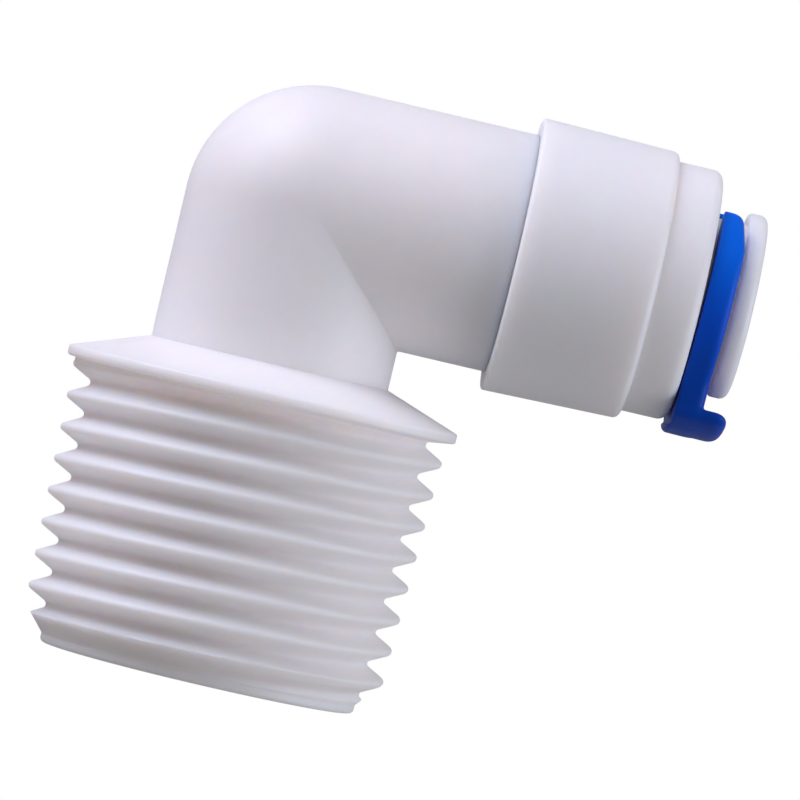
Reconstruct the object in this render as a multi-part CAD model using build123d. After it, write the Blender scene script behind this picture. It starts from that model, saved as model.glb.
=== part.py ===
"""Elbow push-to-connect fitting: 1/4 in tube to R 1/2 male thread, as an assembly.

Frame: origin at the centre of the threaded stem's end face, +Z up the stem, +X out along
the tube port. Millimetres.
"""
from build123d import *
from math import atan, cos, degrees, radians, sin
import os

# Elbow: two equal barrels that meet at ELBOW_Z, with a ball corner
ELBOW_Z = 27.26
BARREL_R = 6.83

# Cone flange between the vertical barrel and the thread
FLANGE_R = 11.2
FLANGE_RIM = 0.59
FLANGE_RIM_Z = 16.07
CONE_TOP_Z = 18.16
FLANGE_ROOT_Z = 15.84
RIM_CHAMFER = 0.15

# Taper pipe thread R 1/2: 14 threads per inch, 1 in 16 taper on the diameter, right hand
THREAD_PITCH = 25.4 / 14
THREAD_END_R = 10.27
THREAD_SLOPE = 1 / 32
THREAD_DEPTH = 1.16
THREAD_BURY = 0.08
THREAD_CREST_FLAT = 0.36
THREAD_ROOT_WIDTH = 1.70
THREAD_PHASE_Z = 0.25
THREAD_START_TURNS = -1
THREAD_TURNS = 10.25
PILOT_R = 9.05
PILOT_LENGTH = 0.5
PILOT_CHAMFER = 0.25
RUN_IN_TOP_Z = 1.95

# Water way
STEM_BORE_R = 6.5
STEM_BORE_DEPTH = 14.5
STEM_NECK_Z = 17.5
BARREL_BORE_R = 4.5
PASSAGE_R = 2.3
TUBE_STOP_X = 7.3
TUBE_POCKET_R = 3.3
GLAND_X = 9.0
GLAND_R = 5.1

# Spigot that carries the cap
SPIGOT_X = 11.85
SPIGOT_R = 6.1
COUNTERBORE_X = 14.9
CHAMBER_R = 5.4
SPIGOT_END_X = 17.2

# Retaining cap
CAP_FIT_GAP = 0.02
COLLAR_REAR_R = 7.85
COLLAR_FRONT_R = 7.69
COLLAR_FRONT_X = 19.8
COLLAR_FILLET = 0.4
NOSE_R = 7.19
CAP_FACE_X = 22.46
NOSE_FILLET = 0.6
CAP_BORE_R = 4.7
CAP_CONE_X = (18.3, 20.3)

# Seals, from the gland shoulder outwards
RING_SECTION_R = 0.975
RING_CENTRE_R = 4.1
SEAL_GAP = 0.03
LOOSE_RING_IN_R = 3.3
LOOSE_RING_OUT_R = 5.05
SPACER_THICK = 0.8
WASHER_THICK = 1.0

# Collet
FINGERS = 4
TIP_X = 16.75
HEAD_R = 5.28
HEAD_END_X = 18.05
NECK_X = 20.0
NECK_R = 4.6
TUBE_R = 3.3
SLOT_WIDTH = 1.3
SLOT_END_X = 20.9
COLLET_FLANGE_X = (24.36, 25.48)
COLLET_FLANGE_R = 5.3
COLLET_REAR_ROUND = 0.25
COLLET_FRONT_ROUND = 0.45

# Steel teeth, one in each finger
TOOTH_X = 17.35
TOOTH_THICK = 0.4
TOOTH_WIDTH = 2.4
TOOTH_EDGE_R = 3.08
TOOTH_BACK_R = 4.5
TOOTH_BEVEL = 0.5

# Locking clip round the collet's neck, leaning in its play with the top forward
CLIP_X = (22.67, 24.24)
CLIP_LEAN_DEG = 1.1
CLIP_IN_R = 4.68
CLIP_OUT_R = 6.2
CLIP_MOUTH_HALF_ANGLE = 34
CLIP_TIP_ROUND = 0.3
CLIP_FRONT_ROUND = 0.5
TAPER_START_H = 3.0
TAPER_END_H = 5.3
TAPER_DEPTH = 0.5
TAB_R = 7.8
TAB_HALF_WIDTH = 4.2
LIP_TOP_H = -6.08
HEEL_X = 22.5
HEEL_TOP_H = -7.35
LIP_END_X = 25.8
LIP_BOTTOM_ROUND = 0.8

PORT = Pos(0, 0, ELBOW_Z)


def turned_z(*points):
    """Solid of revolution about the stem axis from (radius, z) points."""
    return revolve(Plane.XZ * make_face(Polyline(*points, close=True)), Axis.Z)


def turned_x(*points):
    """Solid of revolution about the port axis from (x, radius) points."""
    return PORT * revolve(make_face(Polyline(*points, close=True)), Axis.X)


def drum_x(x0, x1, radius):
    """Plain cylinder on the port axis from x0 to x1."""
    return PORT * Pos((x0 + x1) / 2, 0, 0) * Rot(0, 90, 0) * Cylinder(radius, x1 - x0)


def ring_edge(turned, x, radius):
    """The circular edge of a turned piece at x, of the given radius."""
    return turned.edges().filter_by(GeomType.CIRCLE).filter_by(
        lambda e: abs(e.center().X - x) < 0.01 and abs(e.radius - radius) < 0.01
    )


def crest_r(z):
    """Crest radius of the taper thread at height z."""
    return THREAD_END_R + z * THREAD_SLOPE


def root_r(z):
    """Root radius of the taper thread at height z."""
    return crest_r(z) - THREAD_DEPTH


def thread_ridge():
    """The thread's helical ridge, trimmed by the run-in cone and the flange's underside."""
    start_z = THREAD_PHASE_Z + THREAD_START_TURNS * THREAD_PITCH
    start_r = root_r(start_z) - THREAD_BURY
    taper = degrees(atan(THREAD_SLOPE))
    height = THREAD_TURNS * THREAD_PITCH
    path = Helix(THREAD_PITCH, height, start_r, center=(0, 0, start_z), cone_angle=taper)
    tall = THREAD_DEPTH + THREAD_BURY
    half_root = THREAD_ROOT_WIDTH / 2
    half_crest = THREAD_CREST_FLAT / 2
    outline = Polyline((0, -half_root), (tall, -half_crest), (tall, half_crest), (0, half_root), close=True)
    section = Plane(origin=path @ 0, x_dir=(1, 0, 0), z_dir=path % 0) * make_face(outline)
    ridge = sweep(section, path=path, is_frenet=True)
    envelope = turned_z(
        (PILOT_R - 1, PILOT_LENGTH),
        (PILOT_R, PILOT_LENGTH),
        (crest_r(RUN_IN_TOP_Z) + 0.02, RUN_IN_TOP_Z),
        (crest_r(FLANGE_RIM_Z) + 0.1, FLANGE_RIM_Z),
        (root_r(FLANGE_RIM_Z) - 1, FLANGE_RIM_Z),
    )
    return ridge & envelope


def threaded_stem():
    """Taper core with its helical ridge and the plain pilot at its end."""
    core_top_z = FLANGE_RIM_Z + FLANGE_RIM / 2
    core = turned_z(
        (0, 0),
        (PILOT_R - PILOT_CHAMFER, 0),
        (PILOT_R, PILOT_CHAMFER),
        (PILOT_R, PILOT_LENGTH),
        (root_r(PILOT_LENGTH), PILOT_LENGTH),
        (root_r(core_top_z), core_top_z),
        (0, core_top_z),
    )
    return core + thread_ridge()


def elbow_outside():
    """Cone flange, the two barrels, ball corner and the spigot for the cap."""
    rim_top_z = FLANGE_RIM_Z + FLANGE_RIM
    flange = turned_z(
        (0, FLANGE_ROOT_Z),
        (root_r(FLANGE_ROOT_Z), FLANGE_ROOT_Z),
        (FLANGE_R - RIM_CHAMFER, FLANGE_RIM_Z),
        (FLANGE_R, FLANGE_RIM_Z + RIM_CHAMFER),
        (FLANGE_R, rim_top_z - RIM_CHAMFER),
        (FLANGE_R - RIM_CHAMFER, rim_top_z),
        (BARREL_R, CONE_TOP_Z),
        (BARREL_R, ELBOW_Z),
        (0, ELBOW_Z),
    )
    ball = PORT * Sphere(BARREL_R)
    port = drum_x(0, SPIGOT_X, BARREL_R) + drum_x(SPIGOT_X, SPIGOT_END_X, SPIGOT_R)
    return flange + ball + port


def water_way():
    """Everything hollow in the elbow body: stem bore, barrel bore, passage and gland."""
    stem = turned_z(
        (0, -1),
        (STEM_BORE_R, -1),
        (STEM_BORE_R, STEM_BORE_DEPTH),
        (BARREL_BORE_R, STEM_NECK_Z),
        (BARREL_BORE_R, ELBOW_Z),
        (0, ELBOW_Z),
    )
    dome = PORT * Sphere(BARREL_BORE_R)
    port = turned_x(
        (0, 0),
        (0, PASSAGE_R),
        (TUBE_STOP_X, PASSAGE_R),
        (TUBE_STOP_X, TUBE_POCKET_R),
        (GLAND_X, TUBE_POCKET_R),
        (GLAND_X, GLAND_R),
        (COUNTERBORE_X, GLAND_R),
        (COUNTERBORE_X, CHAMBER_R),
        (SPIGOT_END_X + 1, CHAMBER_R),
        (SPIGOT_END_X + 1, 0),
    )
    return stem + dome + port


def elbow_body():
    return threaded_stem() + elbow_outside() - water_way()


def retaining_cap():
    """Collar and nose in one piece, bonded over the spigot; its inner cone wedges the fingers."""
    skirt_r = SPIGOT_R + CAP_FIT_GAP
    shoulder_x = SPIGOT_END_X + CAP_FIT_GAP
    cone_in, cone_out = CAP_CONE_X
    shell = revolve(
        make_face(
            Polyline(
                (SPIGOT_X + CAP_FIT_GAP, skirt_r),
                (SPIGOT_X + CAP_FIT_GAP, COLLAR_REAR_R),
                (COLLAR_FRONT_X, COLLAR_FRONT_R),
                (COLLAR_FRONT_X, NOSE_R),
                (CAP_FACE_X, NOSE_R),
                (CAP_FACE_X, CAP_BORE_R + 0.2),
                (CAP_FACE_X - 0.2, CAP_BORE_R),
                (cone_out, CAP_BORE_R),
                (cone_in, CHAMBER_R),
                (shoulder_x, CHAMBER_R),
                (shoulder_x, skirt_r),
                close=True,
            )
        ),
        Axis.X,
    )
    shell = fillet(ring_edge(shell, COLLAR_FRONT_X, COLLAR_FRONT_R), COLLAR_FILLET)
    return PORT * fillet(ring_edge(shell, CAP_FACE_X, NOSE_R), NOSE_FILLET)


def o_ring(rear_x):
    """O-ring that starts at rear_x."""
    centre_x = rear_x + RING_SECTION_R
    return PORT * Pos(centre_x, 0, 0) * Rot(0, 90, 0) * Torus(RING_CENTRE_R, RING_SECTION_R)


def loose_ring(rear_x, thick):
    """Flat loose ring in the gland that starts at rear_x."""
    front_x = rear_x + thick
    return drum_x(rear_x, front_x, LOOSE_RING_OUT_R) - drum_x(rear_x - 1, front_x + 1, LOOSE_RING_IN_R)


def finger_teeth():
    """Steel teeth with a bevelled biting edge, one per finger, about the port axis."""
    half = TOOTH_THICK / 2
    outline = Polyline(
        (TOOTH_X - half, TOOTH_BACK_R),
        (TOOTH_X + half, TOOTH_BACK_R),
        (TOOTH_X + half, TOOTH_EDGE_R + TOOTH_BEVEL),
        (TOOTH_X - half, TOOTH_EDGE_R),
        close=True,
    )
    blade = extrude(Plane.XZ * make_face(outline), TOOTH_WIDTH / 2, both=True)
    return [PORT * Rot(45 + 360 / FINGERS * i, 0, 0) * blade for i in range(FINGERS)]


def collet(teeth):
    """Slotted collet: fingers with wedge heads, plain neck and release flange."""
    flange_in, flange_out = COLLET_FLANGE_X
    turned = revolve(
        make_face(
            Polyline(
                (TIP_X, TUBE_R + 0.3),
                (TIP_X, HEAD_R - 0.4),
                (TIP_X + 0.4, HEAD_R),
                (HEAD_END_X, HEAD_R),
                (NECK_X, NECK_R),
                (flange_in, NECK_R),
                (flange_in, COLLET_FLANGE_R),
                (flange_out, COLLET_FLANGE_R),
                (flange_out, TUBE_R + 0.35),
                (flange_out - 0.35, TUBE_R),
                (TIP_X + 0.3, TUBE_R),
                close=True,
            )
        ),
        Axis.X,
    )
    turned = fillet(ring_edge(turned, flange_out, COLLET_FLANGE_R), COLLET_FRONT_ROUND)
    body = PORT * fillet(ring_edge(turned, flange_in, COLLET_FLANGE_R), COLLET_REAR_ROUND)
    slot_length = SLOT_END_X - TIP_X + 1
    slot = Pos(SLOT_END_X - slot_length / 2, 0, 0) * Box(slot_length, SLOT_WIDTH, 2 * HEAD_R + 2)
    for i in range(FINGERS // 2):
        body -= PORT * Rot(360 / FINGERS * i, 0, 0) * slot
    for tooth in teeth:
        body -= tooth
    return body


def clip_face(sketch):
    """Places a sketch drawn in (y, height) on the plane across the port axis at x = 0."""
    return Plane(origin=(0, 0, 0), x_dir=(0, 1, 0), z_dir=(1, 0, 0)) * sketch


def clip_plate(sketch, radius):
    """The sketch as thick as the clip, its outer edge rounded in front."""
    plate_x, plate_end_x = CLIP_X
    middle_x = (plate_x + plate_end_x) / 2
    disc = Pos(middle_x, 0, 0) * Rot(0, 90, 0) * Cylinder(radius, plate_end_x - plate_x)
    disc = fillet(ring_edge(disc, plate_end_x, radius), CLIP_FRONT_ROUND)
    plate = extrude(Pos(plate_x, 0, 0) * clip_face(sketch), plate_end_x - plate_x, dir=(1, 0, 0))
    return plate & disc


def locking_clip():
    """C-shaped clip; opposite its mouth, a D-shaped thumb tab with a lip in front and a heel behind."""
    plate_x, plate_end_x = CLIP_X
    reach = 2 * TAB_R
    mouth_half = radians(CLIP_MOUTH_HALF_ANGLE)
    side = reach * sin(mouth_half)
    top = reach * cos(mouth_half)
    mouth = make_face(Polyline((0, 0), (side, top), (-side, top), close=True))
    arms = Circle(CLIP_OUT_R) - Circle(CLIP_IN_R) - mouth
    arms = fillet(arms.vertices(), CLIP_TIP_ROUND)
    below = Pos(0, -TAB_R) * Rectangle(2 * TAB_HALF_WIDTH, 2 * (TAB_R - CLIP_IN_R / 2))
    tab = (Circle(TAB_R) & below) - Circle(CLIP_IN_R)
    ring = clip_plate(arms, CLIP_OUT_R) + clip_plate(tab, TAB_R)
    lip_window = Pos(0, LIP_TOP_H - TAB_R) * Rectangle(2 * TAB_HALF_WIDTH, 2 * TAB_R)
    lip_outline = Circle(TAB_R) & lip_window
    lip = extrude(Pos(plate_x, 0, 0) * clip_face(lip_outline), LIP_END_X - plate_x, dir=(1, 0, 0))
    heel_window = Pos(0, HEEL_TOP_H - TAB_R) * Rectangle(2 * TAB_HALF_WIDTH, 2 * TAB_R)
    heel_outline = Circle(TAB_R) & heel_window
    heel = extrude(Pos(HEEL_X, 0, 0) * clip_face(heel_outline), plate_end_x - HEEL_X, dir=(1, 0, 0))
    end = lip.edges().filter_by(lambda e: abs(e.center().X - LIP_END_X) < 0.01)
    lip = fillet(end.filter_by(GeomType.CIRCLE), LIP_BOTTOM_ROUND)
    taper = extrude(
        Plane.XZ
        * make_face(
            Polyline(
                (plate_end_x, TAPER_START_H),
                (plate_end_x - TAPER_DEPTH, TAPER_END_H),
                (plate_end_x - TAPER_DEPTH, TAPER_END_H + 2),
                (plate_end_x + 1, TAPER_END_H + 2),
                (plate_end_x + 1, TAPER_START_H),
                close=True,
            )
        ),
        TAB_R,
        both=True,
    )
    middle = Pos((plate_x + plate_end_x) / 2, 0, 0)
    return PORT * middle * Rot(0, CLIP_LEAN_DEG, 0) * middle.inverse() * (ring + lip + heel - taper)


def assembly():
    """Every piece by name."""
    first_ring_x = GLAND_X + SEAL_GAP
    spacer_x = first_ring_x + 2 * RING_SECTION_R + SEAL_GAP
    second_ring_x = spacer_x + SPACER_THICK + SEAL_GAP
    washer_x = second_ring_x + 2 * RING_SECTION_R + SEAL_GAP
    teeth = finger_teeth()
    pieces = {
        "elbow_body": elbow_body(),
        "retaining_cap": retaining_cap(),
        "o_ring_inner": o_ring(first_ring_x),
        "seal_spacer": loose_ring(spacer_x, SPACER_THICK),
        "o_ring_outer": o_ring(second_ring_x),
        "pressure_washer": loose_ring(washer_x, WASHER_THICK),
        "collet": collet(teeth),
        "locking_clip": locking_clip(),
    }
    for i, tooth in enumerate(teeth, start=1):
        pieces[f"grip_tooth_{i}"] = tooth
    return pieces


os.makedirs("parts", exist_ok=True)
for name, piece in assembly().items():
    export_step(piece, f"parts/{name}.step")
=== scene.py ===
"""Push to connect elbow fitting: visual meshes, materials, light and camera around the CAD frame.

Shapes are written in millimetres and go into the meshes in metres.
"""
import bmesh
import bpy
import math
import numpy as np
from mathutils import Matrix, Vector


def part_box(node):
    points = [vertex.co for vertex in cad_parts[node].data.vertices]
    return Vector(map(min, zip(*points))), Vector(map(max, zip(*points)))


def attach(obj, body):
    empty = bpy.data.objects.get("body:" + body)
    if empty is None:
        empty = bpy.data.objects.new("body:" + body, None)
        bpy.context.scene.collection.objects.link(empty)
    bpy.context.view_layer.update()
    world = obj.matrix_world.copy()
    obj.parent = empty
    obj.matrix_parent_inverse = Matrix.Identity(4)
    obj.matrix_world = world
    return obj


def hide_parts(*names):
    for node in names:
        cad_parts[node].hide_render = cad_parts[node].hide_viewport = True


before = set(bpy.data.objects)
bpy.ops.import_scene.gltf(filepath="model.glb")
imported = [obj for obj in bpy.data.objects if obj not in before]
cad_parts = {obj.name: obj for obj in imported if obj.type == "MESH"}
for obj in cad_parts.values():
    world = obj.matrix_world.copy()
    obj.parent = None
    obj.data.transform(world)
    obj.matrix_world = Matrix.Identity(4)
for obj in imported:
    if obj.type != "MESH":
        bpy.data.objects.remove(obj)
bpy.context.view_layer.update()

MM = 0.001

# Sizes read from the frame, in millimetres
body_low, body_high = [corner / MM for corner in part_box("elbow_body")]
cap_low, cap_high = [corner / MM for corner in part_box("retaining_cap")]
collet_low, collet_high = [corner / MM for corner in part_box("collet")]
PORT_Z = (cap_low.z + cap_high.z) / 2
BARREL_R = body_high.z - PORT_Z
FLANGE_R = -body_low.x
SPIGOT_END_X = body_high.x
COLLAR_REAR_R = cap_high.z - PORT_Z
CAP_REAR_X = cap_low.x
CAP_FACE_X = cap_high.x
TIP_X = collet_low.x
COLLET_END_X = collet_high.x
COLLET_FLANGE_R = collet_high.z - PORT_Z

# Elbow
CREASE_SOFTNESS = 0.16
CREASE_R = 0.12
BALL_TURN = 1.06
SPIGOT_X = 11.85
SPIGOT_R = 6.1

# Cone flange
RIM_LOW_Z = 16.07
RIM_HEIGHT = 0.59
RIM_ROUND = 0.13
RUN_OUT_GAP = 0.02
CONE_TOP_Z = 18.16
UNDERSIDE_ROOT_Z = 15.84

# Taper pipe thread with the rounded 55 degree form
PITCH = 25.4 / 14
CREST_END_R = 10.27
TAPER = 1 / 32
HALF_ANGLE = math.radians(27.5)
CREST_ROUND = 0.137329 * PITCH
THREAD_DEPTH = 0.640327 * PITCH
CREST_Z_AT_X = 0.25
PILOT_R = 9.05
PILOT_TOP_Z = 0.5
PILOT_ROUND = 0.25
RUN_IN_TOP_Z = 1.95
RUN_IN_BLEND = 0.12
ROWS_PER_PITCH = 24
COLUMNS = 320

# Water way
STEM_BORE_R = 6.5
STEM_BORE_TOP_Z = 14.5
STEM_NECK_Z = 17.5
BARREL_BORE_R = 4.5
PASSAGE_R = 2.3
TUBE_STOP_X = 7.3
TUBE_R = 3.3
GLAND_X = 9.0
GLAND_R = 5.1
COUNTERBORE_X = 14.9
CHAMBER_R = 5.4

# Retaining cap
COLLAR_FRONT_R = 7.69
COLLAR_FRONT_X = 19.8
NOSE_R = 7.19
CAP_BORE_R = 4.7
CAP_CONE_X = (18.3, 20.3)
CAP_FIT_GAP = 0.02
CAP_REAR_ROUND = 0.17
COLLAR_FRONT_ROUND = 0.38
NOSE_ROUND = 0.58
NOSE_ROOT_FILLET = 0.05
CAP_BORE_ROUND = 0.2

# Collet
HEAD_R = 5.28
HEAD_END_X = 18.05
NECK_X = 20.0
NECK_R = 4.6
TIP_CHAMFER = 0.3
HEAD_CHAMFER = 0.4
COLLET_FLANGE_X = 24.36
FLANGE_REAR_ROUND = 0.25
FLANGE_FRONT_ROUND = 0.45
MOUTH_ROUND = 0.35
FINGERS = 4
SLOT_WIDTH = 1.3
SLOT_END_X = 20.9
TOOTH_SLOT_SIZE = (0.4, 2.4, 1.5)
TOOTH_SLOT_X = 17.35
TOOTH_SLOT_LIFT = 3.75

# Flat rings
RING_ROUND = 0.12

# Locking clip, leaning in its play with the top forward
CLIP_LEAN = math.radians(1.1)
CLIP_REAR_X = 22.67
PLATE_END_X = 24.24
CLIP_FRONT_ROUND = 0.6
HEEL_X = 22.5
HEEL_TOP_H = -7.35
LIP_END_X = 25.8
CLIP_IN_R = 4.68
CLIP_OUT_R = 6.2
MOUTH_HALF_ANGLE = math.radians(34)
TAB_R = 7.8
TAB_HALF_WIDTH = 4.2
LIP_TOP_H = -6.08
LIP_END_ROUND = 0.9
TAPER_START_H = 3.0
TAPER_END_H = 5.3
TAPER_DEPTH = 0.5
TAB_EDGE_ROUND = 0.42
TAB_BLEND = 0.6
CLIP_BORE_ROUND = 0.2
CLIP_TIP_ROUND = 0.5
LIP_TOP_ROUND = 0.3
LIP_ROOT_BLEND = 0.15
CLIP_REAR_ROUND = 0.1
HEEL_TOP_ROUND = 0.15
HEEL_EDGE_ROUND = 0.2
HEEL_BLEND = 0.1
SKIN_CELL = 0.1


# ---------------------------------------------------------------- mesh helpers


def arc(centre, radius, start_deg, end_deg, steps):
    """Points of an arc in a profile plane, angles from the first axis towards the second."""
    angles = np.radians(np.linspace(start_deg, end_deg, steps + 1))
    return [(centre[0] + radius * math.cos(a), centre[1] + radius * math.sin(a)) for a in angles]


def finished(name, vertices, faces, sharp_deg=32):
    """New object from millimetre vertices, smooth but for edges sharper than sharp_deg."""
    mesh = bpy.data.meshes.new(name)
    mesh.from_pydata([tuple(v) for v in np.asarray(vertices) * MM], [], faces)
    mesh.validate()
    piece = bpy.data.objects.new(name, mesh)
    bpy.context.scene.collection.objects.link(piece)
    smooth(piece, sharp_deg)
    return piece


def smooth(piece, sharp_deg=32):
    """Faces outwards, smooth shading, sharp edges by angle."""
    b = bmesh.new()
    b.from_mesh(piece.data)
    bmesh.ops.recalc_face_normals(b, faces=b.faces)
    b.to_mesh(piece.data)
    b.free()
    piece.data.shade_smooth()
    piece.data.set_sharp_from_angle(angle=math.radians(sharp_deg))


def grid_faces(rows, columns, close_rows=False):
    """Quads of a grid whose columns wrap round, and whose rows may wrap too."""
    faces = []
    for i in range(rows if close_rows else rows - 1):
        low = i * columns
        high = (i + 1) % rows * columns
        for j in range(columns):
            k = (j + 1) % columns
            faces.append((low + j, low + k, high + k, high + j))
    return faces


def around(profile, segments, axis):
    """Rings of vertices of an (along, radius) profile about the port axis, or the stem's (Z)."""
    angles = np.linspace(0, 2 * math.pi, segments, endpoint=False)
    vertices = []
    for along, radius in profile:
        for a in angles:
            c, s = radius * math.cos(a), radius * math.sin(a)
            vertices.append((along, c, PORT_Z + s) if axis == "X" else (c, s, along))
    return vertices


def turned(name, profile, segments):
    """Closed (along, radius) profile turned about the port axis."""
    faces = grid_faces(len(profile), segments, close_rows=True)
    return finished(name, around(profile, segments, "X"), faces)


def plug(name, profile, segments, axis="X"):
    """Solid of an open (along, radius) profile, closed by a flat face at each end."""
    faces = grid_faces(len(profile), segments)
    faces.append(tuple(range(segments)))
    last = (len(profile) - 1) * segments
    faces.append(tuple(range(last, last + segments)))
    return finished(name, around(profile, segments, axis), faces)


def cut(piece, tools, operation="DIFFERENCE"):
    """Boolean of piece with each tool, applied; the tools are removed."""
    for tool in tools:
        step = piece.modifiers.new("cut", "BOOLEAN")
        step.operation = operation
        step.solver = "MANIFOLD"
        step.object = tool
        depsgraph = bpy.context.evaluated_depsgraph_get()
        result = bpy.data.meshes.new_from_object(piece.evaluated_get(depsgraph))
        piece.modifiers.clear()
        old = piece.data
        piece.data = result
        bpy.data.meshes.remove(old)
        bpy.data.objects.remove(tool)
    piece.data.name = piece.name
    smooth(piece)


def smooth_max(a, b, r):
    """Meet of two fields with a rounded outer edge of radius about r."""
    return np.maximum(a, b) + np.maximum(r - np.abs(a - b), 0) ** 2 / (4 * r)


def smooth_min(a, b, r):
    return -smooth_max(-a, -b, r)


# ---------------------------------------------------------------- elbow body


def crest_r(z):
    return CREST_END_R + z * TAPER


def thread_height(d):
    """Height of the rounded thread form above its root, d millimetres along from a crest."""
    d = np.abs(d)
    arc_width = CREST_ROUND * math.cos(HALF_ANGLE)
    crest = THREAD_DEPTH - CREST_ROUND + np.sqrt(np.maximum(CREST_ROUND**2 - d**2, 0))
    to_root = PITCH / 2 - d
    root = CREST_ROUND - np.sqrt(np.maximum(CREST_ROUND**2 - to_root**2, 0))
    crest_drop = CREST_ROUND * (1 - math.sin(HALF_ANGLE))
    flank = THREAD_DEPTH - crest_drop - (d - arc_width) / math.tan(HALF_ANGLE)
    return np.where(d < arc_width, crest, np.where(to_root < arc_width, root, flank))


def thread_r(angle, z):
    """Radius of the threaded stem at an angle from +X and a height."""
    rise = z - CREST_Z_AT_X - PITCH * angle / (2 * math.pi)
    from_crest = (rise + PITCH / 2) % PITCH - PITCH / 2
    radius = crest_r(z) - THREAD_DEPTH + thread_height(from_crest)
    slope = (crest_r(RUN_IN_TOP_Z) - PILOT_R) / (RUN_IN_TOP_Z - PILOT_TOP_Z)
    run_in = PILOT_R + (z - PILOT_TOP_Z) * slope
    return np.maximum(smooth_min(radius, run_in, RUN_IN_BLEND), PILOT_R)


def underside_z(radius):
    """Height of the flange's underside at a radius."""
    root = crest_r(UNDERSIDE_ROOT_Z) - THREAD_DEPTH
    slope = (RIM_LOW_Z - UNDERSIDE_ROOT_Z) / (FLANGE_R - root)
    return UNDERSIDE_ROOT_Z + (radius - root) * slope


def elbow_rows():
    """Rows of the body's outside from the stem's end to the spigot's, as (x, y, z) arrays."""
    angle = np.linspace(0, 2 * math.pi, COLUMNS, endpoint=False)
    cosine, sine = np.cos(angle), np.sin(angle)
    rows = []

    def ring(radius, z):
        rows.append((radius * cosine, radius * sine, z + 0 * angle))

    for radius, z in arc((PILOT_R - PILOT_ROUND, PILOT_ROUND), PILOT_ROUND, -90, 0, 6):
        ring(radius, z)
    thread_rows = round((UNDERSIDE_ROOT_Z - PILOT_TOP_Z) / PITCH * ROWS_PER_PITCH)
    for z in np.linspace(PILOT_TOP_Z, UNDERSIDE_ROOT_Z - RUN_OUT_GAP, thread_rows):
        ring(thread_r(angle, z), z)
    inner = thread_r(angle, UNDERSIDE_ROOT_Z)
    rim_in_r = FLANGE_R - RIM_ROUND
    for share in np.linspace(0, 1, 8) ** 0.8:
        radius = inner + (rim_in_r - inner) * share
        ring(radius, underside_z(radius))
    low = (rim_in_r, RIM_LOW_Z + RIM_ROUND)
    high = (rim_in_r, RIM_LOW_Z + RIM_HEIGHT - RIM_ROUND)
    cone_deg = math.degrees(math.atan2(FLANGE_R - BARREL_R, CONE_TOP_Z - high[1]))
    for radius, z in arc(low, RIM_ROUND, -80, 0, 6) + arc(high, RIM_ROUND, 0, cone_deg, 6):
        ring(radius, z)
    rim_r, rim_z = high[0] + RIM_ROUND * math.cos(math.radians(cone_deg)), rows[-1][2][0]
    for share in np.linspace(0, 1, 14)[1:]:
        ring(rim_r + (BARREL_R - rim_r) * share, rim_z + (CONE_TOP_Z - rim_z) * share)
    rows += bend_rows(cosine, sine)
    for radius, x in ((BARREL_R, SPIGOT_X), (SPIGOT_R, SPIGOT_X), (SPIGOT_R, SPIGOT_END_X)):
        rows.append((x + 0 * angle, radius * sine, PORT_Z - radius * cosine))
    return rows


def bend_rows(cosine, sine):
    """The two barrels: each line runs up, turns on its own arc, and runs out along the port.

    Outside the bend the arcs make a ball; inside it they tighten to a crisp crease.
    """
    inward = BARREL_R * cosine
    sideways = BARREL_R * sine
    inside = np.clip(cosine, 0, 1) ** 2 * (3 - 2 * np.clip(cosine, 0, 1))
    outside_r = BALL_TURN * (np.sqrt(inward**2 + CREASE_SOFTNESS**2) - inward) / 2
    turn_r = outside_r + CREASE_R * inside
    turn_x = inward + turn_r
    turn_z = PORT_Z - inward - turn_r
    rows = []
    for share in np.linspace(0, 1, 13)[1:]:
        rows.append((inward, sideways, CONE_TOP_Z + (turn_z - CONE_TOP_Z) * share))
    for t in np.radians(np.linspace(0, 90, 25))[1:]:
        x = turn_x - turn_r * math.cos(t)
        rows.append((x, sideways, turn_z + turn_r * math.sin(t)))
    for share in np.linspace(0, 1, 10)[1:-1]:
        rows.append((turn_x + (SPIGOT_X - turn_x) * share, sideways, PORT_Z - inward))
    return rows


def make_elbow_body():
    rows = elbow_rows()
    vertices = np.concatenate([np.stack(row, axis=1) for row in rows])
    faces = grid_faces(len(rows), COLUMNS)
    faces.append(tuple(range(COLUMNS)))
    last = (len(rows) - 1) * COLUMNS
    faces.append(tuple(range(last, last + COLUMNS)))
    body = finished("elbow_body_shell", vertices, faces)
    stem = [(-1, STEM_BORE_R), (STEM_BORE_TOP_Z, STEM_BORE_R), (STEM_NECK_Z, BARREL_BORE_R)]
    dome = arc((PORT_Z, 0), BARREL_BORE_R, 90, 4, 16)
    stem_tool = plug("stem_tool", stem + dome, 128, axis="Z")
    port = [
        (0, PASSAGE_R),
        (TUBE_STOP_X, PASSAGE_R),
        (TUBE_STOP_X, TUBE_R),
        (GLAND_X, TUBE_R),
        (GLAND_X, GLAND_R),
        (COUNTERBORE_X, GLAND_R),
        (COUNTERBORE_X, CHAMBER_R),
        (SPIGOT_END_X + 1, CHAMBER_R),
    ]
    port_tool = plug("port_tool", port, 128)
    cut(body, [stem_tool, port_tool])
    return body


# ---------------------------------------------------------------- cap, collet, seals


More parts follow.
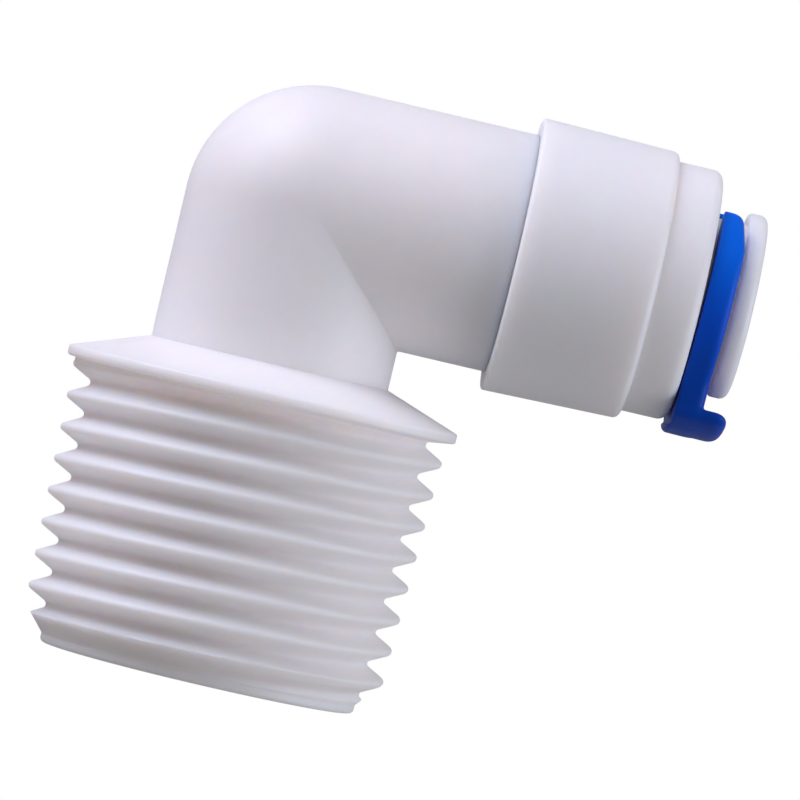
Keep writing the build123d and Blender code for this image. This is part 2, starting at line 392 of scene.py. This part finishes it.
def make_retaining_cap():
    """Collar and nose: rounded edges outside, counterbore, wedge cone and bore inside."""
    rear, front, nose, bore = CAP_REAR_ROUND, COLLAR_FRONT_ROUND, NOSE_ROUND, CAP_BORE_ROUND
    narrowing = (COLLAR_REAR_R - COLLAR_FRONT_R) / (COLLAR_FRONT_X - CAP_REAR_X)
    slope_deg = math.degrees(math.atan(narrowing))
    profile = [(CAP_REAR_X, SPIGOT_R + CAP_FIT_GAP)]
    profile += arc((CAP_REAR_X + rear, COLLAR_REAR_R - rear), rear, 180, 90 - slope_deg, 6)
    profile += arc((COLLAR_FRONT_X - front, COLLAR_FRONT_R - front), front, 90, 0, 10)
    profile.append((COLLAR_FRONT_X, NOSE_R + NOSE_ROOT_FILLET))
    profile.append((COLLAR_FRONT_X + NOSE_ROOT_FILLET, NOSE_R))
    profile += arc((CAP_FACE_X - nose, NOSE_R - nose), nose, 90, 0, 12)
    profile += arc((CAP_FACE_X - bore, CAP_BORE_R + bore), bore, 0, -90, 6)
    profile += [
        (CAP_CONE_X[1], CAP_BORE_R),
        (CAP_CONE_X[0], CHAMBER_R),
        (SPIGOT_END_X + CAP_FIT_GAP, CHAMBER_R),
        (SPIGOT_END_X + CAP_FIT_GAP, SPIGOT_R + CAP_FIT_GAP),
    ]
    return turned("retaining_cap_shell", profile, 256)


def make_collet():
    """Slotted fingers with wedge heads, neck and release flange."""
    rear, front, mouth = FLANGE_REAR_ROUND, FLANGE_FRONT_ROUND, MOUTH_ROUND
    profile = [
        (TIP_X + TIP_CHAMFER, TUBE_R),
        (TIP_X, TUBE_R + TIP_CHAMFER),
        (TIP_X, HEAD_R - HEAD_CHAMFER),
        (TIP_X + HEAD_CHAMFER, HEAD_R),
        (HEAD_END_X, HEAD_R),
        (NECK_X, NECK_R),
        (COLLET_FLANGE_X, NECK_R),
    ]
    profile += arc((COLLET_FLANGE_X + rear, COLLET_FLANGE_R - rear), rear, 180, 90, 6)
    profile += arc((COLLET_END_X - front, COLLET_FLANGE_R - front), front, 90, 0, 10)
    profile += arc((COLLET_END_X - mouth, TUBE_R + mouth), mouth, 0, -90, 8)
    body = turned("collet_shell", profile, 224)
    tools = []
    length = SLOT_END_X - TIP_X + 1
    size = (length, SLOT_WIDTH, 2 * HEAD_R + 2)
    for i in range(FINGERS // 2):
        tools.append(block("slot", size, SLOT_END_X - length / 2, 0, 90 * i))
    for i in range(FINGERS):
        turn_deg = 45 + 90 * i
        tools.append(block("tooth_slot", TOOTH_SLOT_SIZE, TOOTH_SLOT_X, TOOTH_SLOT_LIFT, turn_deg))
    cut(body, tools)
    return body


def block(name, size, x, lift, turn_deg):
    """Box at x on the port axis, lifted off it, then turned about it."""
    corners = [(sx, sy, sz) for sx in (-0.5, 0.5) for sy in (-0.5, 0.5) for sz in (-0.5, 0.5)]
    turn = Matrix.Rotation(math.radians(turn_deg), 3, "X")
    vertices = []
    for c in corners:
        point = Vector((c[0] * size[0] + x, c[1] * size[1], c[2] * size[2] + lift))
        vertices.append(turn @ point + Vector((0, 0, PORT_Z)))
    faces = [(0, 1, 3, 2), (4, 6, 7, 5), (0, 4, 5, 1), (2, 3, 7, 6), (0, 2, 6, 4), (1, 5, 7, 3)]
    return finished(name, vertices, faces)


def make_seal(node):
    """O-ring of round section in the place of its node."""
    low, high = [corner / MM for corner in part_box(node)]
    section = (high.x - low.x) / 2
    centre_r = (high.z - low.z) / 2 - section
    profile = arc(((low.x + high.x) / 2, centre_r), section, 0, 360, 32)[:-1]
    return turned(node + "_torus", profile, 128)


def make_loose_ring(node):
    """Flat ring in the place of its node, with rounded edges."""
    low, high = [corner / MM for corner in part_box(node)]
    outer, r = (high.z - low.z) / 2, RING_ROUND
    profile = arc((low.x + r, TUBE_R + r), r, 270, 180, 4)
    profile += arc((low.x + r, outer - r), r, 180, 90, 4)
    profile += arc((high.x - r, outer - r), r, 90, 0, 4)
    profile += arc((high.x - r, TUBE_R + r), r, 0, -90, 4)
    return turned(node + "_ring", profile, 160)


# ---------------------------------------------------------------- locking clip


def clip_field(x, y, h):
    """Distance to the clip's skin: C-shaped plate, D-shaped tab, lip and heel, all leaning."""
    middle = (CLIP_REAR_X + PLATE_END_X) / 2
    x, h = (
        middle + (x - middle) * math.cos(CLIP_LEAN) - h * math.sin(CLIP_LEAN),
        (x - middle) * math.sin(CLIP_LEAN) + h * math.cos(CLIP_LEAN),
    )
    edge = TAB_EDGE_ROUND
    radius = np.hypot(y, h)
    wide = np.abs(y) - TAB_HALF_WIDTH
    mouth_angle = np.abs(np.arctan2(y, h))
    mouth = (MOUTH_HALF_ANGLE - mouth_angle) * radius
    disc = radius - CLIP_OUT_R
    tab_edge = smooth_max(radius - TAB_R, wide, edge)
    outline = smooth_min(disc, smooth_max(tab_edge, h, edge), TAB_BLEND)
    along_taper = (h - TAPER_START_H) / (TAPER_END_H - TAPER_START_H)
    taper = TAPER_DEPTH * np.clip(along_taper, 0, 1.2)
    plate = smooth_max(outline, x - PLATE_END_X + taper, CLIP_FRONT_ROUND)
    plate = smooth_max(plate, CLIP_IN_R - radius, CLIP_BORE_ROUND)
    plate = smooth_max(plate, mouth, CLIP_TIP_ROUND)
    lip = smooth_max(tab_edge, h - LIP_TOP_H, LIP_TOP_ROUND)
    lip = smooth_max(lip, x - LIP_END_X, LIP_END_ROUND)
    heel = smooth_max(tab_edge, h - HEEL_TOP_H, HEEL_TOP_ROUND)
    heel = smooth_max(heel, x - PLATE_END_X, HEEL_EDGE_ROUND)
    plate_and_lip = smooth_min(plate, lip, LIP_ROOT_BLEND)
    plate_and_lip = smooth_max(plate_and_lip, CLIP_REAR_X - x, CLIP_REAR_ROUND)
    return smooth_min(plate_and_lip, smooth_max(heel, HEEL_X - x, HEEL_EDGE_ROUND), HEEL_BLEND)


def skin(name, field, low, high, cell):
    """Surface-net mesh of the zero level of field inside the box, pulled on to the level."""
    axes = [np.arange(a - 2 * cell, b + 3 * cell, cell) for a, b in zip(low, high)]
    values = field(*np.meshgrid(*axes, indexing="ij"))
    inside = values < 0
    cells = [n - 1 for n in values.shape]
    total, count = np.zeros(cells + [3]), np.zeros(cells)
    corners = [(i, j, k) for i in (0, 1) for j in (0, 1) for k in (0, 1)]
    at = {c: values[tuple(slice(k, k + n) for k, n in zip(c, cells))] for c in corners}
    for a in corners:
        for axis in range(3):
            if a[axis]:
                continue
            b = tuple(1 if n == axis else v for n, v in enumerate(a))
            crossing = (at[a] < 0) != (at[b] < 0)
            share = at[a] / np.where(crossing, at[a] - at[b], 1)
            for n in range(3):
                total[..., n] += np.where(crossing, a[n] + (share if n == axis else 0), 0)
            count += crossing
    used = count > 0
    number = np.full(cells, -1)
    number[used] = np.arange(used.sum())
    where = np.argwhere(used)
    origin = np.array([axis[0] for axis in axes])
    points = origin + (where + total[used] / count[used][:, None]) * cell
    for _ in range(4):
        points = pull_on(points, field, cell * 0.05)
    faces = []
    for axis in range(3):
        u, v = (axis + 1) % 3, (axis + 2) % 3
        ahead = np.roll(inside, -1, axis)
        for c in np.argwhere(inside != ahead):
            if min(c[u], c[v]) < 1 or c[axis] >= cells[axis]:
                continue
            loop = []
            for du, dv in ((0, 0), (1, 0), (1, 1), (0, 1)):
                k = c.copy()
                k[u] -= du
                k[v] -= dv
                loop.append(int(number[tuple(k)]))
            faces.append(tuple(loop if inside[tuple(c)] else loop[::-1]))
    points[:, 2] += PORT_Z
    return finished(name, points, faces, sharp_deg=60)


def pull_on(points, field, step):
    """One Newton step of points on to the zero level of field."""
    value = field(*points.T)
    slope = np.empty_like(points)
    for axis in range(3):
        shift = np.zeros(3)
        shift[axis] = step
        slope[:, axis] = (field(*(points + shift).T) - field(*(points - shift).T)) / (2 * step)
    size = np.maximum((slope**2).sum(axis=1), 0.2)
    return points - slope * (value / size)[:, None]


def make_locking_clip():
    low = (HEEL_X - 0.3, -CLIP_OUT_R, -TAB_R - 0.1)
    high = (LIP_END_X, CLIP_OUT_R, CLIP_OUT_R)
    return skin("locking_clip_skin", clip_field, low, high, SKIN_CELL)


# ---------------------------------------------------------------- materials

ACETAL_IOR = 1.48
ACETAL_SCATTER_MM = (2.6, 2.0, 1.6)
# Painted shade on the clip: colour by height above the tab's end, dark at the tab, middle, pale at
# the top
CLIP_PAINTED_SHADE_STOPS = [
    (0.22, (0.0005, 0.055, 0.43)),
    (0.52, (0.0005, 0.082, 0.65)),
    (0.78, (0.0005, 0.13, 0.76)),
]
CLIP_CLOUD = 0.06
CLIP_SPECULAR = 0.12


class Shader:
    """Small helper that adds and links nodes of one material."""

    def __init__(self, name):
        self.material = bpy.data.materials.new(name)
        self.material.use_nodes = True
        self.tree = self.material.node_tree
        self.tree.nodes.clear()
        self.output = self.tree.nodes.new("ShaderNodeOutputMaterial")
        self.surface = self.tree.nodes.new("ShaderNodeBsdfPrincipled")
        self.link(self.surface, "BSDF", self.output, "Surface")
        self.place = self.tree.nodes.new("ShaderNodeTexCoord")

    def link(self, source, out, target, into):
        self.tree.links.new(source.outputs[out], target.inputs[into])

    def set(self, **values):
        for key, value in values.items():
            self.surface.inputs[key.replace("_", " ")].default_value = value

    def noise(self, scale, detail=3.0, roughness=0.5, stretch=(1, 1, 1)):
        """Noise in object space, scale in features per metre."""
        mapping = self.tree.nodes.new("ShaderNodeMapping")
        mapping.inputs["Scale"].default_value = stretch
        self.link(self.place, "Object", mapping, "Vector")
        noise = self.tree.nodes.new("ShaderNodeTexNoise")
        noise.inputs["Scale"].default_value = scale
        noise.inputs["Detail"].default_value = detail
        noise.inputs["Roughness"].default_value = roughness
        self.link(mapping, "Vector", noise, "Vector")
        return noise

    def ramp(self, source, stops, out="Fac"):
        """Colour ramp of (position, colour) stops."""
        ramp = self.tree.nodes.new("ShaderNodeValToRGB")
        elements = ramp.color_ramp.elements
        while len(elements) < len(stops):
            elements.new(0.5)
        for element, (position, colour) in zip(elements, stops):
            element.position = position
            element.color = (*colour, 1)
        self.link(source, out, ramp, "Fac")
        return ramp

    def range(self, source, low, high, out="Fac"):
        """Maps the noise's middle range to low..high."""
        node = self.tree.nodes.new("ShaderNodeMapRange")
        node.inputs["From Min"].default_value = 0.3
        node.inputs["From Max"].default_value = 0.7
        node.inputs["To Min"].default_value = low
        node.inputs["To Max"].default_value = high
        self.link(source, out, node, "Value")
        return node

    def bump(self, source, distance, strength=1.0, below=None, out="Fac"):
        node = self.tree.nodes.new("ShaderNodeBump")
        node.inputs["Strength"].default_value = strength
        node.inputs["Distance"].default_value = distance
        self.link(source, out, node, "Height")
        if below:
            self.link(below, "Normal", node, "Normal")
        return node


def moulded_plastic(name, pale, deep, rough, grain, subsurface=0.0, specular=0.5):
    """Injection-moulded plastic: cloudy colour over the moulded surface."""
    s = Shader(name)
    cloud = s.noise(260, 4, 0.55)
    colour = s.ramp(cloud, [(0.35, deep), (0.65, pale)])
    s.link(colour, "Color", s.surface, "Base Color")
    moulded_surface(s, rough, grain)
    s.set(IOR=ACETAL_IOR, Specular_IOR_Level=specular)
    s.set(Subsurface_Weight=subsurface, Subsurface_Scale=MM)
    s.surface.inputs["Subsurface Radius"].default_value = ACETAL_SCATTER_MM
    return s.material


def moulded_surface(s, rough, grain):
    """Satin patches, and fine grain over faint sink waves."""
    patches = s.noise(900, 3, 0.6)
    roughness = s.range(patches, rough - 0.05, rough + 0.06)
    s.link(roughness, "Result", s.surface, "Roughness")
    waves = s.bump(s.noise(420, 1, 0.4), 6e-6)
    fine = s.bump(s.noise(16000, 2, 0.6), grain, below=waves)
    s.link(fine, "Normal", s.surface, "Normal")


def clip_plastic_with_painted_shade():
    """Cloudy blue with painted shade: darker towards the tab, paler towards the tips."""
    s = Shader("clip_acetal_painted_shade")
    split = s.tree.nodes.new("ShaderNodeSeparateXYZ")
    s.link(s.place, "Object", split, "Vector")
    height = s.tree.nodes.new("ShaderNodeMapRange")
    height.inputs["From Min"].default_value = (PORT_Z - TAB_R) * MM
    height.inputs["From Max"].default_value = (PORT_Z + CLIP_OUT_R) * MM
    s.link(split, "Z", height, "Value")
    cloud = s.noise(260, 4, 0.55)
    mixed = s.tree.nodes.new("ShaderNodeMath")
    mixed.operation = "MULTIPLY_ADD"
    mixed.inputs[1].default_value = CLIP_CLOUD
    s.link(cloud, "Fac", mixed, 0)
    s.link(height, "Result", mixed, 2)
    # Painted shade: the base colour darkens as the height falls, so the lower clip is shaded and
    # the top is lit
    colour = s.ramp(mixed, CLIP_PAINTED_SHADE_STOPS, out="Value")
    s.link(colour, "Color", s.surface, "Base Color")
    moulded_surface(s, 0.36, 1.0e-6)
    s.set(IOR=ACETAL_IOR, Specular_IOR_Level=CLIP_SPECULAR)
    return s.material


def rubber():
    s = Shader("seal_rubber_nitrile")
    bloom = s.noise(1500, 4, 0.6)
    colour = s.ramp(bloom, [(0.3, (0.012, 0.012, 0.013)), (0.75, (0.035, 0.034, 0.036))])
    s.link(colour, "Color", s.surface, "Base Color")
    roughness = s.range(s.noise(5000), 0.42, 0.62)
    s.link(roughness, "Result", s.surface, "Roughness")
    fine = s.bump(s.noise(22000, 2), 3e-6)
    s.link(fine, "Normal", s.surface, "Normal")
    return s.material


def steel():
    s = Shader("tooth_steel_stamped")
    lines = s.noise(4000, 2, 0.5, stretch=(1, 12, 12))
    colour = s.ramp(lines, [(0.3, (0.50, 0.50, 0.49)), (0.7, (0.64, 0.63, 0.62))])
    s.link(colour, "Color", s.surface, "Base Color")
    roughness = s.range(lines, 0.22, 0.38)
    s.link(roughness, "Result", s.surface, "Roughness")
    fine = s.bump(lines, 4e-6)
    s.link(fine, "Normal", s.surface, "Normal")
    s.set(Metallic=1.0)
    return s.material


def paint(piece, material):
    piece.data.materials.clear()
    piece.data.materials.append(material)


# ---------------------------------------------------------------- assembly

BODY_PLASTIC = moulded_plastic(
    "body_acetal",
    (0.87, 0.855, 0.862),
    (0.85, 0.835, 0.842),
    0.46,
    1.2e-6,
    subsurface=1.0,
    specular=0.4,
)
CAP_PLASTIC = moulded_plastic(
    "cap_acetal",
    (0.87, 0.855, 0.864),
    (0.85, 0.835, 0.844),
    0.46,
    1.2e-6,
    subsurface=1.0,
    specular=0.4,
)
COLLET_PLASTIC = moulded_plastic(
    "collet_acetal", (0.82, 0.84, 0.88), (0.80, 0.82, 0.86), 0.34, 0.8e-6, subsurface=1.0
)
INNER_PLASTIC = moulded_plastic(
    "inner_acetal", (0.78, 0.78, 0.77), (0.74, 0.74, 0.73), 0.45, 1.2e-6
)
CLIP_PLASTIC = clip_plastic_with_painted_shade()
SEAL_RUBBER = rubber()
TOOTH_STEEL = steel()


def install(piece, node, body, material):
    """The finished piece stands for its node, on the node's body."""
    paint(piece, material)
    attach(piece, body)
    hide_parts(node)


install(make_elbow_body(), "elbow_body", "fitting", BODY_PLASTIC)
install(make_retaining_cap(), "retaining_cap", "fitting", CAP_PLASTIC)
install(make_collet(), "collet", "collet", COLLET_PLASTIC)
install(make_locking_clip(), "locking_clip", "clip", CLIP_PLASTIC)
for seal in ("o_ring_inner", "o_ring_outer"):
    install(make_seal(seal), seal, "fitting", SEAL_RUBBER)
for ring, ring_body in (("seal_spacer", "fitting"), ("pressure_washer", "washer")):
    install(make_loose_ring(ring), ring, ring_body, INNER_PLASTIC)
for i in range(FINGERS):
    paint(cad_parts[f"grip_tooth_{i + 1}"], TOOTH_STEEL)


# ---------------------------------------------------------------- world, light, camera

YAW_DEG = 2.1
TILT_DEG = 0.3
ROLL_DEG = 13.2
CAMERA_DISTANCE = 450.0
LENS_MM = 360
AIM_RIGHT = 7.61
AIM_UP = -9.465
GLOW_BELOW = (0.262, 0.254, 0.257)
GLOW_LEVEL = (0.252, 0.247, 0.249)
GLOW_ABOVE = (0.27, 0.268, 0.275)
LIGHT_TARGET = (7, 0, 17)
LIGHT_DISTANCE = 400
LIGHT_SIZE = 320
KEY_POWER = 1.74
KEY_COLOUR = (0.87, 0.84, 1.0)
SIDE_POWER = 0.98
SIDE_COLOUR = (0.88, 0.885, 1.0)


def camera_axes():
    """Forward, right and up of the unrolled camera."""
    yaw, tilt = math.radians(YAW_DEG), math.radians(TILT_DEG)
    level = math.cos(tilt)
    forward = Vector((math.sin(yaw) * level, math.cos(yaw) * level, -math.sin(tilt)))
    right = Vector((math.cos(yaw), -math.sin(yaw), 0))
    return forward, right, right.cross(forward)


def add_camera():
    """Long lens from the side, rolled so that the port runs down to the right."""
    forward, right, up = camera_axes()
    roll = math.radians(ROLL_DEG)
    picture_right = right * math.cos(roll) + up * math.sin(roll)
    picture_up = up * math.cos(roll) - right * math.sin(roll)
    aim = Vector((0, 0, PORT_Z)) + right * AIM_RIGHT + up * AIM_UP
    camera = bpy.data.objects.new("camera", bpy.data.cameras.new("camera"))
    turn = Matrix((picture_right, picture_up, -forward)).transposed().to_4x4()
    camera.matrix_world = Matrix.Translation((aim - forward * CAMERA_DISTANCE) * MM) @ turn
    camera.data.lens = LENS_MM
    camera.data.clip_start, camera.data.clip_end = 0.01, 20
    bpy.context.scene.collection.objects.link(camera)
    bpy.context.scene.camera = camera
    return forward, right, up


def add_light(name, towards, power, colour):
    """Soft square light that shines on the middle of the fitting from the given side."""
    data = bpy.data.lights.new(name, "AREA")
    data.size = LIGHT_SIZE * MM
    data.energy = power
    data.color = colour
    light = bpy.data.objects.new(name, data)
    away = towards.normalized() * LIGHT_DISTANCE
    light.location = (Vector(LIGHT_TARGET) + away) * MM
    light.rotation_mode = "QUATERNION"
    light.rotation_quaternion = towards.to_track_quat("Z", "Y")
    bpy.context.scene.collection.objects.link(light)


def add_world():
    """White for the camera; the surroundings light the fitting with a nearly even grey."""
    world = bpy.data.worlds.new("studio")
    world.use_nodes = True
    tree = world.node_tree
    tree.nodes.clear()
    output = tree.nodes.new("ShaderNodeOutputWorld")
    mix = tree.nodes.new("ShaderNodeMixShader")
    path = tree.nodes.new("ShaderNodeLightPath")
    direction = tree.nodes.new("ShaderNodeTexCoord")
    split = tree.nodes.new("ShaderNodeSeparateXYZ")
    height = tree.nodes.new("ShaderNodeMapRange")
    height.inputs["From Min"].default_value = -1
    glow = tree.nodes.new("ShaderNodeValToRGB")
    for element, colour in zip(glow.color_ramp.elements, (GLOW_BELOW, GLOW_ABOVE)):
        element.color = (*colour, 1)
    middle = glow.color_ramp.elements.new(0.5)
    middle.color = (*GLOW_LEVEL, 1)
    given = tree.nodes.new("ShaderNodeBackground")
    shown = tree.nodes.new("ShaderNodeBackground")
    shown.inputs["Color"].default_value = (1, 1, 1, 1)
    tree.links.new(direction.outputs["Generated"], split.inputs["Vector"])
    tree.links.new(split.outputs["Z"], height.inputs["Value"])
    tree.links.new(height.outputs["Result"], glow.inputs["Fac"])
    tree.links.new(glow.outputs["Color"], given.inputs["Color"])
    tree.links.new(path.outputs["Is Camera Ray"], mix.inputs["Fac"])
    tree.links.new(given.outputs["Background"], mix.inputs[1])
    tree.links.new(shown.outputs["Background"], mix.inputs[2])
    tree.links.new(mix.outputs["Shader"], output.inputs["Surface"])
    bpy.context.scene.world = world


forward, right, up = add_camera()
add_world()
add_light("key", up * 0.44 - right * 0.33 - forward * 0.15, KEY_POWER, KEY_COLOUR)
add_light("side", right * 0.97 - forward * 0.25, SIDE_POWER, SIDE_COLOUR)
bpy.context.scene.view_settings.view_transform = "Standard"
